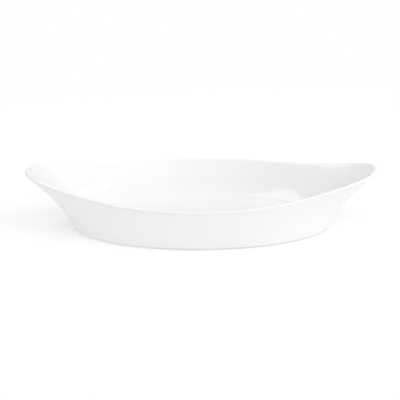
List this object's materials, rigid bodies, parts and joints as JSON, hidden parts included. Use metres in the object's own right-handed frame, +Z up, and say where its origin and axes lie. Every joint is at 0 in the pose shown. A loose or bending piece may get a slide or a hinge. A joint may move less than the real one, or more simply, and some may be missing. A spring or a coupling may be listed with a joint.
{
  "type": "gratin dish",
  "caption": "Shallow oval porcelain gratin dish whose sloping wall flares up into a rounded ear at each end; glazed all over except its foot ring.",
  "frame": {"origin": "middle of the oval foot, on the table that the dish stands on", "axes": "+X along the dish from ear to ear, +Y across it, +Z up out of the bowl"},
  "size_m": [0.262, 0.15, 0.045],
  "materials": {
    "bare_porcelain": "vitrified white porcelain, unglazed, ground flat at the foot",
    "glaze": "glossy white feldspathic glaze"
  },
  "bodies": {
    "root": {"porcelain_body": "bare_porcelain", "glaze_coat": "glaze", "underside_glaze": "glaze"}
  },
  "joints": []
}
